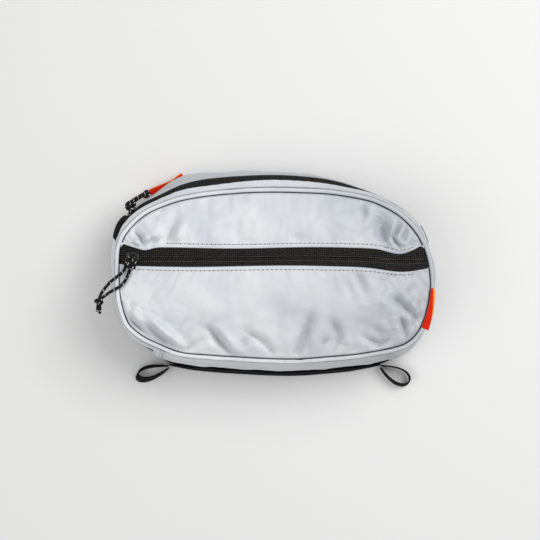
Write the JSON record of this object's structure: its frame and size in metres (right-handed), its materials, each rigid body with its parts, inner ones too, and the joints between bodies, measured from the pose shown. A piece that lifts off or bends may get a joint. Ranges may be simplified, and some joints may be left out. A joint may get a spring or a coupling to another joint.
{
  "type": "hip pouch",
  "caption": "Small hip pouch of coated fabric lying on its back, with a front zip pocket, an arched main zip, cord pulls and lash loops.",
  "frame": {"origin": "middle of the back pad's outer face, which lies on the surface", "axes": "+X along the pouch's width towards the wearer's left when worn, +Y towards the pouch's top, +Z out through its front"},
  "size_m": [0.3057, 0.1967, 0.0815],
  "materials": {
    "silver_fabric": "light silver-grey coated nylon, plain weave, soft sheen",
    "lining": "thin dark lining cloth",
    "back_mesh": "black spacer mesh over thin foam",
    "black_webbing": "black woven tape",
    "zip_tape": "black woven zip tape",
    "zip_coil": "black polyester coil",
    "zip_slider": "black enamelled zinc, satin",
    "pull_cord": "black braided cord with pale flecks",
    "red_label": "plain woven label, red with an orange edge"
  },
  "bodies": {
    "bag": {"back_pad": "back_mesh", "back_panel": "black_webbing", "back_binding": "black_webbing", "pocket_divider": "lining", "front_panel_upper": "silver_fabric", "front_panel_lower": "silver_fabric", "front_binding": "silver_fabric", "gusset_front_strip": "silver_fabric", "gusset_rear_strip": "silver_fabric", "gusset_side_left": "silver_fabric", "gusset_side_right": "silver_fabric", "gusset_bottom_panel": "silver_fabric", "front_zip_tape_upper": "zip_tape", "front_zip_tape_lower": "zip_tape", "front_zip_coil_upper": "zip_coil", "front_zip_coil_lower": "zip_coil", "top_zip_tape_front": "zip_tape", "top_zip_tape_rear": "zip_tape", "top_zip_coil_front": "zip_coil", "top_zip_coil_rear": "zip_coil", "zip_end_tab_left": "zip_tape", "zip_end_tab_right": "zip_tape", "lash_tape": "black_webbing", "side_label": "red_label", "top_label": "red_label"},
    "front_slider": {"front_zip_slider": "zip_slider"},
    "front_pull": {"front_pull_cord": "pull_cord", "front_pull_knot": "pull_cord"},
    "top_slider": {"top_zip_slider": "zip_slider"},
    "top_pull": {"top_pull_cord": "pull_cord", "top_pull_knot": "pull_cord"},
    "loop_left": {"lash_loop_left": "black_webbing"},
    "loop_right": {"lash_loop_right": "black_webbing"}
  },
  "joints": [
    {"name": "front_zip", "type": "hinge", "parent": "bag", "child": "front_slider", "pos_m": [0, 0.0132, -0.56824], "axis": [0, 1, 0], "range_deg": [0, 22.12]},
    {"name": "front_pull_swing", "type": "hinge", "parent": "front_slider", "child": "front_pull", "pos_m": [-0.1256, 0.0132, 0.07434], "axis": [-0.9814, 0, -0.1918], "range_deg": [0, 150]},
    {"name": "top_zip", "type": "hinge", "parent": "bag", "child": "top_slider", "pos_m": [0, -0.18105, 0.0505], "axis": [0, 0, -1], "range_deg": [0, 56.29]},
    {"name": "top_pull_swing", "type": "hinge", "parent": "top_slider", "child": "top_pull", "pos_m": [-0.12767, 0.05761, 0.0523], "axis": [0.8818, 0.4717, 0], "range_deg": [0, 150]},
    {"name": "loop_left_turn", "type": "hinge", "parent": "bag", "child": "loop_left", "pos_m": [-0.09846, -0.0872, 0], "axis": [0, 0, 1], "range_deg": [-4, 60]},
    {"name": "loop_right_turn", "type": "hinge", "parent": "bag", "child": "loop_right", "pos_m": [0.09846, -0.0872, 0], "axis": [0, 0, 1], "range_deg": [-50, 8]}
  ]
}
